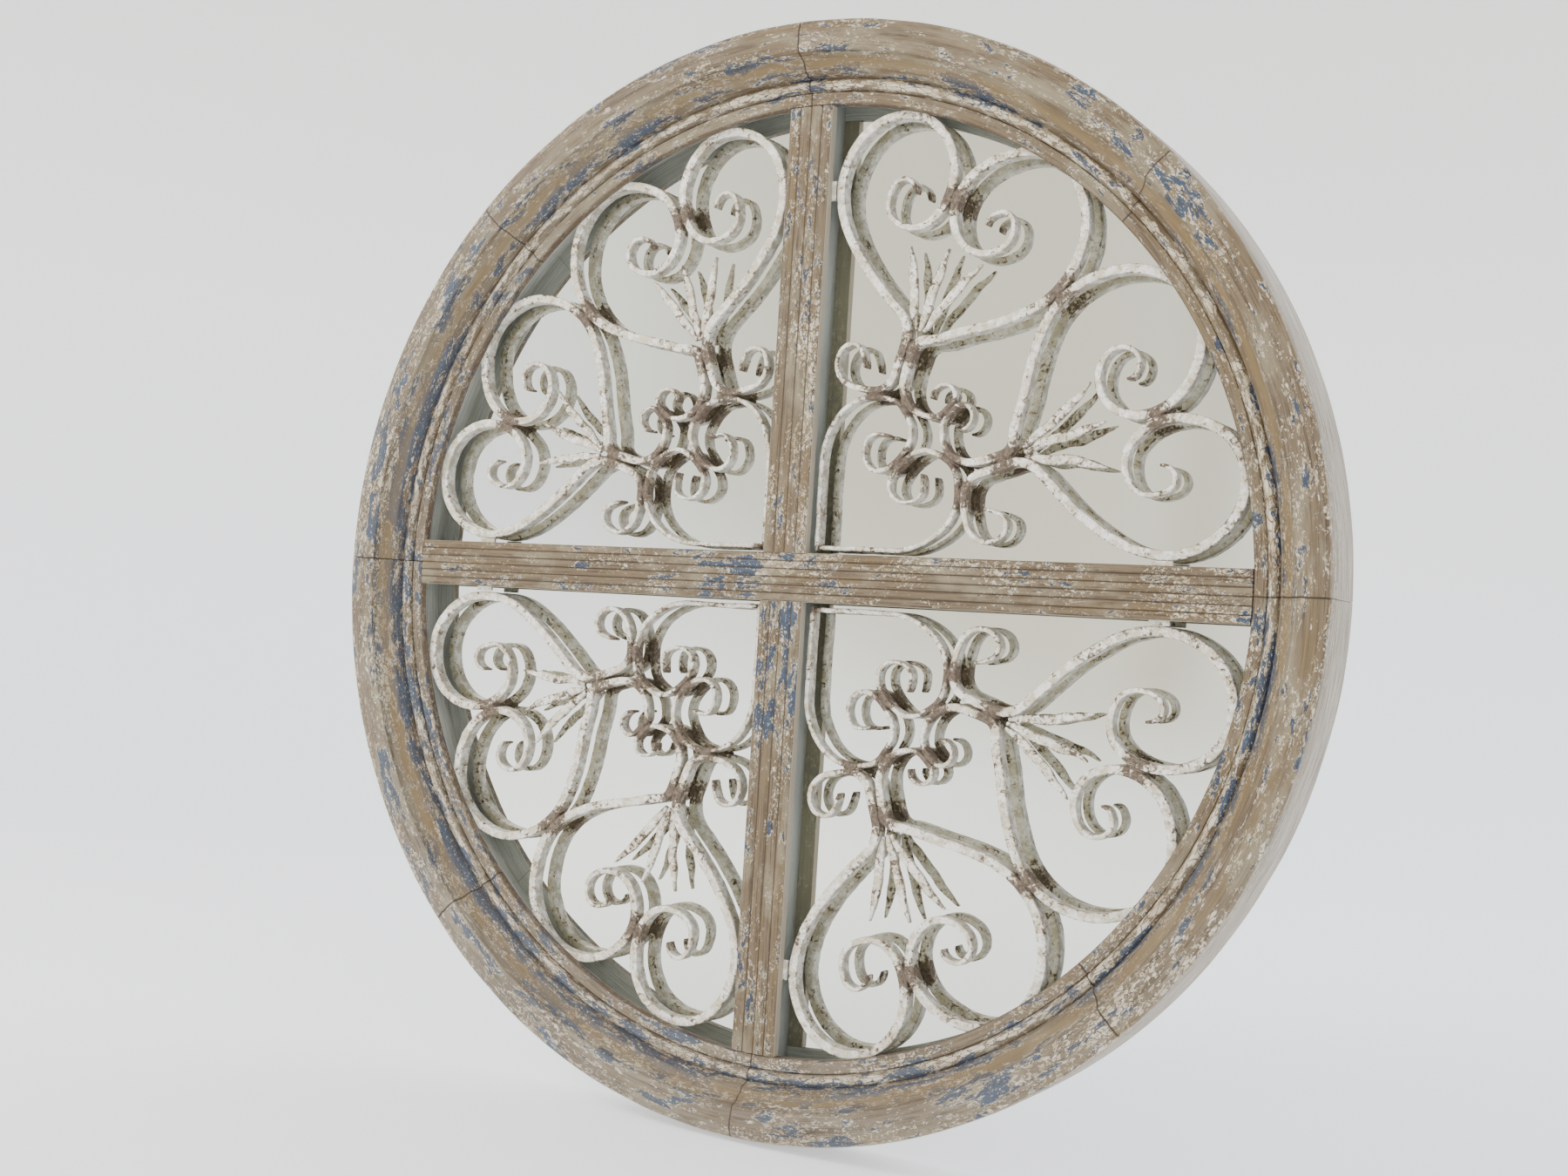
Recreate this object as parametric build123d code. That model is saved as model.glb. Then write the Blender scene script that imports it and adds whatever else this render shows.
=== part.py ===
# Round wall mirror: a turned wooden ring in eight segments, a cross of two glazing bars
# and forged scrollwork in four panes over one sheet of mirror glass. Millimetres, +Z up.
# The origin is the centre of the back, where it lies on the wall; the front looks along -Y.
from build123d import *
import math
import os

os.makedirs("parts", exist_ok=True)

# Ring
OUTER_DIAMETER = 900
RING_DEPTH = 62
SEGMENTS = 8
RING_WIDTH = 62             # from the lip's inner edge out to the outer side
LIP_THICKNESS = 8
LIP_EDGE_ROUND = 2.5
LIP_WIDTH = 11
GROOVE_DEPTH = 1
BEAD_WIDTH = 9.5
BEAD_RISE = 5
STEP_WIDTH = 4
STEP_RISE = 10
COVE_WIDTH = 12
BAND_CROWN = 2              # how far the outer band swells between its edges

# Glass and backing
GLASS_THICKNESS = 4
GLASS_SEAT = 10             # width of the shoulder under the glass
GLASS_CLEARANCE = 1
BOARD_THICKNESS = 6
BOARD_SEAT = 12
BOARD_CLEARANCE = 1
BOARD_SCREWS = 16

# Glazing bars
BAR_WIDTH = 40
BAR_THICKNESS = 8
RIB_WIDTH = 12
RIB_DEPTH = 16
LAP_DEPTH = 4               # depth of the horizontal rib that is left over the crossing
HORIZONTAL_REEDS = 6
VERTICAL_REEDS = 4
REED_GROOVE = 1.2
BEHIND_LIP = 20             # from the lip's inner edge out to the wall behind it
JOINT_CLEARANCE = 0.2

# Scrollwork
SCROLL_DEPTH = 12
HEART_THICKNESS = 8
CURL_THICKNESS = 6          # the heart strips, where their ends begin to curl
LAST_TURN_THICKNESS = 4.5
CORNER_THICKNESS = 4.5
TIP_THICKNESS = 3.5
WELD_GAP = 0.3
BAR_GAP = 3                 # between the corner scrolls and the bars
LOBE_SIDE_GAP = 4           # between the hearts and the bars
LEAF_DEPTH = 4
LEAF_SETBACK = 4            # from the scrollwork's front back to the leaves
LEAF_WIDTH = 7
LEAF_BASE = 3
LEAF_TIP = 1.2
TAB_THICKNESS = 2
TAB_HEIGHT = 16
TAB_UNDER_BAR = 11

# Dowels and screws
DOWEL_DIAMETER = 8
DOWEL_LENGTH = 40
DOWEL_CLEARANCE = 0.1
DOWEL_INSET = 12            # from the ring's outer side in to the dowels
SCREW_DIAMETER = 3
SCREW_HEAD = 6
SCREW_HEAD_HEIGHT = 1.4
SCREW_SLOT = 0.8
SCREW_CLEARANCE = 0.1
BOARD_SCREW_LENGTH = 16
TAB_SCREW_LENGTH = 8
HANGER_SCREW_LENGTH = 18

# Hangers
HANGER_ANGLE = 25           # how far above three and nine o'clock the hangers sit
HANGER_WIDTH = 10
HANGER_DROP = 20
HANGER_METAL = 1.5
HANGER_SCREW_DROP = 12.5
RING_WIRE = 3
RING_HALF_WIDTH = 7.4
RING_LENGTH = 22
RING_CORNER = 2.2
HINGE_CLEARANCE = 0.05
BARREL_LIFT = 0.1

# Planes from the wall to the front, all from the thicknesses above
OUTER_RADIUS = OUTER_DIAMETER / 2
SIGHT_RADIUS = OUTER_RADIUS - RING_WIDTH
BOARD_FRONT = -BOARD_THICKNESS
GLASS_FRONT = BOARD_FRONT - GLASS_THICKNESS
LIP_BACK = GLASS_FRONT - RIB_DEPTH
LIP_FRONT = LIP_BACK - LIP_THICKNESS
SCROLL_FRONT = LIP_BACK + WELD_GAP
REBATE_RADIUS = SIGHT_RADIUS + BEHIND_LIP
GLASS_REBATE = REBATE_RADIUS + GLASS_SEAT
BOARD_REBATE = GLASS_REBATE + BOARD_SEAT
HANGER_RADIUS = (BOARD_REBATE + OUTER_RADIUS) / 2
BAR_EDGE = BAR_WIDTH / 2
BARREL_RADIUS = RING_WIRE / 2 + HINGE_CLEARANCE + HANGER_METAL
HINGE_Y = BARREL_RADIUS + BARREL_LIFT
FORWARD = (0, -1, 0)

# The scrollwork is drawn for a pane this wide and follows a pane of another size.
DRAWN_PANE = 368
PANE_SCALE = (SIGHT_RADIUS - BAR_EDGE) / DRAWN_PANE


def save(name, solids):
    export_step(Compound(children=list(solids)), f"parts/{name}.step")


def forward(drawing, back, depth):
    """A flat drawing stood up at the plane back and made this deep towards the front."""
    return extrude(Plane.XZ.offset(-back) * drawing, amount=depth)


def turned(shape, angle):
    """The shape carried round the mirror's axis, from +X towards +Z."""
    return Rotation(0, -angle, 0) * shape


def rod(diameter, start, length, direction):
    """A round rod from start along direction."""
    lower_end = (Align.CENTER, Align.CENTER, Align.MIN)
    return Plane(start, z_dir=direction) * Cylinder(diameter / 2, length, align=lower_end)


def countersunk(place, direction, length, play):
    """A screw's shank and head, with the head's face at place, this much larger all round."""
    lower_end = (Align.CENTER, Align.CENTER, Align.MIN)
    cone = Cone(SCREW_HEAD / 2 + play, SCREW_DIAMETER / 2 + play, SCREW_HEAD_HEIGHT, align=lower_end)
    head = Plane(place, z_dir=direction) * cone
    return rod(SCREW_DIAMETER + 2 * play, place, length + play, direction) + head


def screw(place, direction, length):
    """A countersunk screw with a straight slot across its head."""
    slot = Plane(place, z_dir=direction) * Box(SCREW_HEAD, SCREW_SLOT, SCREW_HEAD_HEIGHT)
    return (countersunk(place, direction, length, 0) - slot).solid()


# Places of the fasteners

def dowel_places():
    """Radius and depth of the two dowels in each joint of the ring."""
    radius = OUTER_RADIUS - DOWEL_INSET
    return [(radius, -RING_DEPTH / 3), (radius, -RING_DEPTH * 2 / 3)]


def board_screw_places():
    """Halfway across the shoulder under the board, clear of the ring's joints."""
    radius = (GLASS_REBATE + BOARD_REBATE) / 2
    angles = [math.radians((index + 0.5) * 360 / BOARD_SCREWS) for index in range(BOARD_SCREWS)]
    return [(radius * math.cos(angle), 0, radius * math.sin(angle)) for angle in angles]


def hanger_screw_place(side):
    """On the ring's rear edge, below the line that the hanging ring turns on."""
    angle = math.radians(HANGER_ANGLE)
    across = HANGER_RADIUS * math.cos(angle) + HANGER_SCREW_DROP * math.sin(angle)
    up = HANGER_RADIUS * math.sin(angle) - HANGER_SCREW_DROP * math.cos(angle)
    return (side * across, HANGER_METAL, up)


def tab_reach():
    """How far out along its bar each fixing tab lies: beside the heart's widest place."""
    return pane(0, LOBE_SIDE_HEIGHT)[1]


def tab_screw_places():
    """One behind each tab's end, under the edges of both bars in all four panes."""
    across = BAR_EDGE - TAB_UNDER_BAR / 2
    places = []
    for side_x in (-1, 1):
        for side_z in (-1, 1):
            places.append((side_x * across, LIP_BACK + TAB_THICKNESS, side_z * tab_reach()))
            places.append((side_x * tab_reach(), LIP_BACK + TAB_THICKNESS, side_z * across))
    return places


# Ring

def ring_profile():
    """Half section of the ring: radius along X and depth along Y, the front at -Y."""
    edge_start = LIP_FRONT + LIP_EDGE_ROUND
    edge_end = SIGHT_RADIUS + LIP_EDGE_ROUND
    groove = SIGHT_RADIUS + LIP_WIDTH
    bead_end = groove + BEAD_WIDTH
    step_end = bead_end + STEP_WIDTH
    cove_end = step_end + COVE_WIDTH
    bead_foot = LIP_FRONT - BEAD_RISE / 2
    step_foot = bead_foot - STEP_RISE
    crown = -RING_DEPTH
    band = crown + BAND_CROWN
    bead_top = (groove + BEAD_WIDTH / 2, LIP_FRONT - BEAD_RISE)
    cove_middle = (step_end + COVE_WIDTH * 0.6, step_foot + (band - step_foot) * 0.4)
    band_middle = ((cove_end + OUTER_RADIUS) / 2, crown)
    return make_face([
        Line((SIGHT_RADIUS, LIP_BACK), (SIGHT_RADIUS, edge_start)),
        TangentArc((SIGHT_RADIUS, edge_start), (edge_end, LIP_FRONT), tangent=FORWARD),
        Line((edge_end, LIP_FRONT), (groove - GROOVE_DEPTH, LIP_FRONT)),
        Line((groove - GROOVE_DEPTH, LIP_FRONT), (groove, LIP_FRONT + GROOVE_DEPTH)),
        ThreePointArc((groove, LIP_FRONT + GROOVE_DEPTH), bead_top, (bead_end, bead_foot)),
        Line((bead_end, bead_foot), (step_end, step_foot)),
        ThreePointArc((step_end, step_foot), cove_middle, (cove_end, band)),
        ThreePointArc((cove_end, band), band_middle, (OUTER_RADIUS, band)),
        Polyline((OUTER_RADIUS, band), (OUTER_RADIUS, 0), (BOARD_REBATE, 0),
                 (BOARD_REBATE, BOARD_FRONT), (GLASS_REBATE, BOARD_FRONT),
                 (GLASS_REBATE, GLASS_FRONT), (REBATE_RADIUS, GLASS_FRONT),
                 (REBATE_RADIUS, LIP_BACK), (SIGHT_RADIUS, LIP_BACK)),
    ])


def dowels(angle, diameter, length):
    """Both dowels of the joint at this angle, square to the joint."""
    return [turned(rod(diameter, (radius, depth, -length / 2), length, (0, 0, 1)), angle)
            for radius, depth in dowel_places()]


def ring_segment(index):
    """One segment, bored for its dowels and for the screws that reach into it."""
    step = 360 / SEGMENTS
    low = index * step
    high = low + step
    segment = turned(revolve(ring_profile(), Axis.Y, step), high)
    for angle in (low, high):
        for peg in dowels(angle, DOWEL_DIAMETER + 2 * DOWEL_CLEARANCE, DOWEL_LENGTH + 1):
            segment -= peg
    screws = [(place, BOARD_SCREW_LENGTH) for place in board_screw_places()]
    screws += [(hanger_screw_place(side), HANGER_SCREW_LENGTH) for side in (-1, 1)]
    for place, length in screws:
        if low < math.degrees(math.atan2(place[2], place[0])) % 360 < high:
            segment -= countersunk(place, FORWARD, length, SCREW_CLEARANCE)
    return segment.solid()


# Glass and backing

def disc(radius, back, thickness):
    return forward(Circle(radius), back, thickness)


def mirror_plate():
    return disc(GLASS_REBATE - GLASS_CLEARANCE, BOARD_FRONT, GLASS_THICKNESS)


def backing_board():
    board = disc(BOARD_REBATE - BOARD_CLEARANCE, 0, BOARD_THICKNESS)
    for place in board_screw_places():
        board -= countersunk(place, FORWARD, BOARD_SCREW_LENGTH, SCREW_CLEARANCE)
    return board.solid()


# Glazing bars, made lying along X

def moulding(reeds):
    """The front plate: flat behind, rounded reeds in front, its ends scribed to the lip."""
    back = -LIP_BACK
    groove = back + BAR_THICKNESS - REED_GROOVE
    pitch = BAR_WIDTH / reeds
    edges = [Polyline((-BAR_EDGE, groove), (-BAR_EDGE, back), (BAR_EDGE, back), (BAR_EDGE, groove))]
    for index in range(reeds):
        start = BAR_EDGE - index * pitch
        top = (start - pitch / 2, groove + REED_GROOVE)
        edges.append(ThreePointArc((start, groove), top, (start - pitch, groove)))
    along_x = Plane((-SIGHT_RADIUS, 0, 0), x_dir=(0, 0, 1), z_dir=(1, 0, 0))
    plate = extrude(along_x * make_face(edges), amount=2 * SIGHT_RADIUS)
    return plate & disc(SIGHT_RADIUS - JOINT_CLEARANCE, LIP_BACK, RING_DEPTH)


def rib():
    """The rib behind the moulding, from wall to wall behind the lip."""
    length = 2 * (REBATE_RADIUS - JOINT_CLEARANCE)
    centred = (Align.CENTER, Align.MIN, Align.CENTER)
    return Pos(0, LIP_BACK, 0) * Box(length, RIB_DEPTH, RIB_WIDTH, align=centred)


def crossing_block(width, start, end):
    """The space of the crossing, as long as the width given, between two depths."""
    centred = (Align.CENTER, Align.MIN, Align.CENTER)
    return Pos(0, start, 0) * Box(width, end - start, BAR_WIDTH, align=centred)


def bored_for_tabs(bar):
    for place in tab_screw_places():
        bar -= countersunk(place, FORWARD, TAB_SCREW_LENGTH, SCREW_CLEARANCE)
    return bar.solid()


def horizontal_bar():
    """Whole in front; its rib is cut away behind, where the vertical rib passes."""
    lap = LIP_BACK + LAP_DEPTH
    bar = moulding(HORIZONTAL_REEDS) + rib() - crossing_block(RIB_WIDTH, lap, GLASS_FRONT)
    return bored_for_tabs(bar)


def vertical_bar():
    """Cut away in front for the other bar's moulding and for what is left of its rib."""
    bar = moulding(VERTICAL_REEDS) + rib()
    bar -= crossing_block(BAR_WIDTH, LIP_BACK - BAR_THICKNESS, LIP_BACK)
    bar -= crossing_block(RIB_WIDTH, LIP_BACK, LIP_BACK + LAP_DEPTH)
    return bored_for_tabs(turned(bar, 90))


# Scrollwork. A strip is drawn in the upper right pane as stations: where the middle of the
# strip passes, which way it points in degrees from +X towards +Z, and how thick it is there.
# Two arcs that share a tangent join each station to the next. Drawn places are measured
# from the edges of the two bars.

LOBE_SIDE_HEIGHT = 298      # height of the upright heart's widest place beside the bar
HEART_AXIS = 71             # which way the upright heart leans
LOBE_AXIS = 249             # which way both lobes run where they touch inside the heart
HEART_WELD = (78, 166)
CORNER_TOP_WELD = (50, 130.5)
CORNER_SHOULDER_WELD = (77.5, 120)
SHOULDER_AXIS = 126
CURL_WELD = (116, 116)
CORNER_CURL_WELD = (75, 75)
LOBE_WELD = (109.5, 286)
HEARTS_WELD = (204, 204)


def pane(across, up):
    """A drawn place in the upper right pane."""
    return (BAR_EDGE + across * PANE_SCALE, BAR_EDGE + up * PANE_SCALE)


def station(across, up, heading, thickness):
    return (*pane(across, up), heading, thickness)


def welded(weld, heading, thickness, side):
    """A station just off the line of a weld, on its left (1) or its right (-1)."""
    across, up = pane(*weld)
    turn = math.radians(heading + 90 * side)
    off = (thickness + WELD_GAP) / 2
    return (across + off * math.cos(turn), up + off * math.sin(turn), heading, thickness)


def heart_outer():
    """Small curl by the bar, up past the weld, round the upper lobe and into its curl."""
    lobe_side = (BAR_EDGE + LOBE_SIDE_GAP + HEART_THICKNESS / 2, pane(0, LOBE_SIDE_HEIGHT)[1])
    return [
        station(40, 152, 100, TIP_THICKNESS),
        station(27, 171.5, 180, LAST_TURN_THICKNESS),
        station(13.5, 156, 270, LAST_TURN_THICKNESS),
        welded(CORNER_TOP_WELD, 0, CURL_THICKNESS, 1),
        welded(HEART_WELD, HEART_AXIS, HEART_THICKNESS, 1),
        station(42, 225, 130, HEART_THICKNESS),
        (*lobe_side, 90, HEART_THICKNESS),
        station(61, 356, 0, HEART_THICKNESS),
        welded(LOBE_WELD, LOBE_AXIS, HEART_THICKNESS, -1),
        station(77, 264, 180, CURL_THICKNESS),
        station(52, 284, 90, LAST_TURN_THICKNESS),
        station(65, 304, 0, LAST_TURN_THICKNESS),
        station(75, 292, 270, TIP_THICKNESS),
    ]


def heart_inner():
    """Small curl by the diagonal, along the weld, round the lower lobe and into its curl."""
    return [
        station(101, 126, 95, TIP_THICKNESS),
        station(112, 137.5, 0, TIP_THICKNESS),
        station(121.5, 128, 270, LAST_TURN_THICKNESS),
        welded(CURL_WELD, 225, LAST_TURN_THICKNESS, -1),
        station(103, 111.5, 180, LAST_TURN_THICKNESS),
        welded(CORNER_SHOULDER_WELD, SHOULDER_AXIS, CURL_THICKNESS, -1),
        welded(HEART_WELD, HEART_AXIS, HEART_THICKNESS, -1),
        station(110, 175, 15, HEART_THICKNESS),
        station(165, 187.5, 17, HEART_THICKNESS),
        welded(HEARTS_WELD, 45, HEART_THICKNESS, 1),
        station(222, 258, 90, HEART_THICKNESS),
        station(167, 317.5, 180, HEART_THICKNESS),
        welded(LOBE_WELD, LOBE_AXIS, HEART_THICKNESS, 1),
        station(140, 239.5, 0, CURL_THICKNESS),
        station(163, 258, 90, LAST_TURN_THICKNESS),
        station(151, 271, 180, LAST_TURN_THICKNESS),
        station(139, 262, 270, TIP_THICKNESS),
    ]


def corner_scroll(start):
    """From the corner up beside the bar, over the shoulder and into its curl."""
    side = BAR_EDGE + BAR_GAP + CORNER_THICKNESS / 2
    return [
        (side, BAR_EDGE + start, 90, CORNER_THICKNESS),
        (side, pane(0, 75)[1], 90, CORNER_THICKNESS),
        welded(CORNER_TOP_WELD, 0, CORNER_THICKNESS, -1),
        welded(CORNER_SHOULDER_WELD, SHOULDER_AXIS - 180, CORNER_THICKNESS, -1),
        station(85, 98, 270, CORNER_THICKNESS),
        welded(CORNER_CURL_WELD, 225, CORNER_THICKNESS, -1),
        station(57, 68.5, 180, CORNER_THICKNESS),
        station(43.5, 83, 90, TIP_THICKNESS),
        station(54, 98, 0, TIP_THICKNESS),
        station(66, 96, -25, TIP_THICKNESS),
    ]


def leaves():
    """Three wavy leaves that stand in the fork above the heart's weld."""
    lines = [
        [(81.3, 182.2, 100), (78.5, 207, 92), (73, 250, 99)],
        [(84.4, 181, 72), (94, 208, 76), (108, 246, 64)],
        [(87.8, 180.2, 50), (108, 204, 50), (137, 232, 38)],
    ]
    widths = (LEAF_BASE, LEAF_WIDTH, LEAF_TIP)
    return [[station(*place, width) for place, width in zip(line, widths)] for line in lines]


def swapped(stations):
    """The same strip mirrored about the pane's diagonal."""
    return [(up, across, 90 - heading, thickness) for across, up, heading, thickness in stations]


def unit(heading):
    return Vector(math.cos(math.radians(heading)), math.sin(math.radians(heading)))


def meeting_point(start, start_way, end, end_way):
    """Where two arcs meet, one leaving start and one reaching end, with one tangent."""
    chord = end - start
    ways = start_way + end_way
    spread = 2 * (1 - start_way.dot(end_way))
    if spread < 1e-9:
        reach = chord.dot(chord) / (4 * chord.dot(end_way))
    else:
        along = chord.dot(ways)
        reach = (math.sqrt(along * along + spread * chord.dot(chord)) - along) / spread
    return (start + end + (start_way - end_way) * reach) / 2


def arc(start, way, end):
    """An arc that leaves start this way, or a straight line where it would be flat."""
    if (end - start).cross(way).length < 1e-4:
        return Line(start, end)
    return TangentArc(start, end, tangent=way)


def edge_of_strip(stations, side):
    """One edge of a strip, half its thickness off its middle, as a chain of arcs."""
    points = []
    for across, up, heading, thickness in stations:
        points.append((Vector(across, up) + unit(heading + 90 * side) * (thickness / 2),
                       unit(heading)))
    edges = []
    for (start, start_way), (end, end_way) in zip(points, points[1:]):
        middle = meeting_point(start, start_way, end, end_way)
        first = arc(start, start_way, middle)
        edges.append(first)
        edges.append(arc(middle, first % 1, end))
    return edges, points[0][0], points[-1][0]


def strip(stations, front, depth):
    """A flat bar bent along its stations, with square ends."""
    left, left_start, left_end = edge_of_strip(stations, 1)
    right, right_start, right_end = edge_of_strip(stations, -1)
    outline = left + right + [Line(left_start, right_start), Line(left_end, right_end)]
    return forward(make_face(outline), front + depth, depth).solid()


def fixing_tab():
    """A plate behind the bar's moulding that reaches the side of the heart."""
    width = TAB_UNDER_BAR + LOBE_SIDE_GAP - WELD_GAP
    drawing = Pos(BAR_EDGE - TAB_UNDER_BAR + width / 2, tab_reach()) * Rectangle(width, TAB_HEIGHT)
    plate = forward(drawing, LIP_BACK + TAB_THICKNESS, TAB_THICKNESS)
    for place in tab_screw_places():
        plate -= countersunk(place, FORWARD, TAB_SCREW_LENGTH, SCREW_CLEARANCE)
    return plate.solid()


def pane_pieces():
    """The named pieces of the upper right pane, each as a list of solids."""
    strips = {
        "upright_heart_outer_scroll": heart_outer(),
        "upright_heart_inner_scroll": heart_inner(),
        "level_heart_outer_scroll": swapped(heart_outer()),
        "level_heart_inner_scroll": swapped(heart_inner()),
        "upright_corner_scroll": corner_scroll(BAR_GAP),
        "level_corner_scroll": swapped(corner_scroll(BAR_GAP + CORNER_THICKNESS + WELD_GAP)),
    }
    pieces = {name: [strip(line, SCROLL_FRONT, SCROLL_DEPTH)] for name, line in strips.items()}
    leaf_front = SCROLL_FRONT + LEAF_SETBACK
    pieces["upright_leaves"] = [strip(leaf, leaf_front, LEAF_DEPTH) for leaf in leaves()]
    pieces["level_leaves"] = [strip(swapped(leaf), leaf_front, LEAF_DEPTH) for leaf in leaves()]
    return pieces


# Hangers

def hung(shape, side):
    """A hanger's piece, drawn about its hinge, carried to its place on this side."""
    placed = turned(Pos(HANGER_RADIUS, 0, 0) * shape, HANGER_ANGLE)
    return placed if side > 0 else mirror(placed, Plane.YZ)


def hanger_strap(side):
    """A steel strap whose upper end is curled into a barrel for the ring."""
    centre = (0, HANGER_METAL / 2, -HANGER_DROP / 2)
    plate = Pos(*centre) * Box(HANGER_WIDTH, HANGER_METAL, HANGER_DROP)
    start = (-HANGER_WIDTH / 2, HINGE_Y, 0)
    barrel = rod(2 * BARREL_RADIUS, start, HANGER_WIDTH, (1, 0, 0))
    bore = rod(RING_WIRE + 2 * HINGE_CLEARANCE, start, HANGER_WIDTH, (1, 0, 0))
    strap = plate + barrel - bore
    screw_place = (0, HANGER_METAL, -HANGER_SCREW_DROP)
    strap -= countersunk(screw_place, FORWARD, HANGER_SCREW_LENGTH, SCREW_CLEARANCE)
    return hung(strap, side).solid()


def hanger_ring(side):
    """A closed ring of round wire, straight through the barrel and pulled up from it."""
    half = RING_HALF_WIDTH
    straight = half - RING_CORNER
    bend = RING_LENGTH - half
    route = Wire([
        Line((-straight, 0), (straight, 0)),
        TangentArc((straight, 0), (half, RING_CORNER), tangent=(1, 0)),
        Line((half, RING_CORNER), (half, bend)),
        TangentArc((half, bend), (-half, bend), tangent=(0, 1)),
        Line((-half, bend), (-half, RING_CORNER)),
        TangentArc((-half, RING_CORNER), (-straight, 0), tangent=(0, -1)),
    ])
    section = Plane((0, 0, 0), z_dir=(1, 0, 0)) * Circle(RING_WIRE / 2)
    wire = sweep(Pos(-straight, 0, 0) * section, path=route)
    hinge = Plane((0, HINGE_Y, 0), x_dir=(1, 0, 0), z_dir=FORWARD)
    return hung(hinge * wire, side).solid()


# Files

for index in range(SEGMENTS):
    save(f"ring_segment_{index + 1}", [ring_segment(index)])

pegs = []
for index in range(SEGMENTS):
    angle = index * 360 / SEGMENTS
    pegs += [peg.solid() for peg in dowels(angle, DOWEL_DIAMETER, DOWEL_LENGTH)]
save("ring_dowels", pegs)

save("mirror_plate", [mirror_plate().solid()])
save("backing_board", [backing_board()])
save("board_screws", [screw(place, FORWARD, BOARD_SCREW_LENGTH) for place in board_screw_places()])
save("horizontal_bar", [horizontal_bar()])
save("vertical_bar", [vertical_bar()])

PANES = {
    "upper_right": lambda solid: solid,
    "upper_left": lambda solid: mirror(solid, Plane.YZ),
    "lower_right": lambda solid: mirror(solid, Plane.XY),
    "lower_left": lambda solid: mirror(mirror(solid, Plane.YZ), Plane.XY),
}
pieces = pane_pieces()
upright_tab = fixing_tab()
level_tab = mirror(upright_tab, Plane((0, 0, 0), z_dir=(1, 0, -1)))
tabs = []
for pane_name, moved in PANES.items():
    for piece_name, solids in pieces.items():
        save(f"{pane_name}_{piece_name}", [moved(solid) for solid in solids])
    tabs += [moved(upright_tab), moved(level_tab)]
save("fixing_tabs", tabs)
save("tab_screws", [screw(place, FORWARD, TAB_SCREW_LENGTH) for place in tab_screw_places()])

for side, side_name in ((-1, "left"), (1, "right")):
    save(f"hanger_strap_{side_name}", [hanger_strap(side)])
    save(f"hanger_ring_{side_name}", [hanger_ring(side)])
save("hanger_screws", [screw(hanger_screw_place(side), FORWARD, HANGER_SCREW_LENGTH)
                       for side in (-1, 1)])
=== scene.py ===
import math

import bmesh
import bpy
from bpy.props import FloatProperty, FloatVectorProperty, IntProperty, PointerProperty
from mathutils import Matrix, Vector, noise


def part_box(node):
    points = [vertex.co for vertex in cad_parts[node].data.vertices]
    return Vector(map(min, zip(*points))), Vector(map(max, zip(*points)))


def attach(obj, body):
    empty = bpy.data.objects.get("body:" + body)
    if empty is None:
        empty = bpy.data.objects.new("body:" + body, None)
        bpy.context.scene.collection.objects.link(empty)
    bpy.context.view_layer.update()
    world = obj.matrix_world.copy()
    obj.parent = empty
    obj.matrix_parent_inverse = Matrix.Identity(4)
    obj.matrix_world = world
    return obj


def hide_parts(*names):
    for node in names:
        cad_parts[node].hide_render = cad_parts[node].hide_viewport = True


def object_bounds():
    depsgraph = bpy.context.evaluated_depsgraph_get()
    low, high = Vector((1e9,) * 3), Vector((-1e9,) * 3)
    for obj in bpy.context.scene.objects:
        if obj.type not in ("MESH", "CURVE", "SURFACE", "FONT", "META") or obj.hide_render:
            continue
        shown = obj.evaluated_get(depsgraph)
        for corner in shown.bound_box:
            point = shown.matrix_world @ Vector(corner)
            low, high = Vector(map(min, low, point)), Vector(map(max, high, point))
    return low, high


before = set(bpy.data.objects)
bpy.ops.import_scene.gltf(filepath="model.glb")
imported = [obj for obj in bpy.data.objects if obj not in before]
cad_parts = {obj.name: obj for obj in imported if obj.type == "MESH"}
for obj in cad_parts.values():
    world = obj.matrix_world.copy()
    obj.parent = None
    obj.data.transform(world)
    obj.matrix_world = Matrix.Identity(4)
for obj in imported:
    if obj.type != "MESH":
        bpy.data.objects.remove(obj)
CAD_BOX = [list(corner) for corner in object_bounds()]

bl_info = {
    "name": "Round Window Mirror",
    "version": (1, 0, 0),
    "blender": (4, 5, 0),
    "location": "3D View > Sidebar > Mirror",
    "description": "Builds the looks of a round window mirror with forged scrollwork",
    "category": "Object",
}

MM = 0.001

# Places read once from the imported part, in metres: X to the right, Y into the wall, Z up.
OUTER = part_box("ring_segment_1")[1].x
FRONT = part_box("ring_segment_1")[0].y
GLASS_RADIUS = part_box("mirror_plate")[1].x
GLASS_FRONT, GLASS_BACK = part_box("mirror_plate")[0].y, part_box("mirror_plate")[1].y
SCROLL = "upper_right_upright_heart_inner_scroll"
SCROLL_FRONT, SCROLL_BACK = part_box(SCROLL)[0].y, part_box(SCROLL)[1].y
LEAF_FRONT, LEAF_BACK = (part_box("upper_right_upright_leaves")[0].y,
                         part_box("upper_right_upright_leaves")[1].y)
BAR_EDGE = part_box("vertical_bar")[1].x
SEGMENTS = sum(name.startswith("ring_segment_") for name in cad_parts)

# The ring's turned profile in millimetres: radii where one form ends and the next begins, and
# depths, which are zero at the wall and below zero in front of it.
LIP_RADIUS, GROOVE_RADIUS, BEAD_END, STEP_END, COVE_END = 388, 399, 408.5, 412.5, 424.5
GLASS_REBATE, BOARD_SEAT, BOARD_REBATE = 408, 418, 430
LIP_BACK, LIP_FRONT, BOARD_FRONT, GLASS_SEAT = -26, -34, -6, -10
# Radius at which a length of paint round the ring is as long as it looks.
PAINT_RADIUS = 425.0
# Half widths of the bars' moulding and of the rib behind it, and how many reeds each bar has.
BAR_HALF, RIB_HALF = BAR_EDGE / MM, 6
UPRIGHT_REEDS, LEVEL_REEDS = 4, 6


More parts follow.
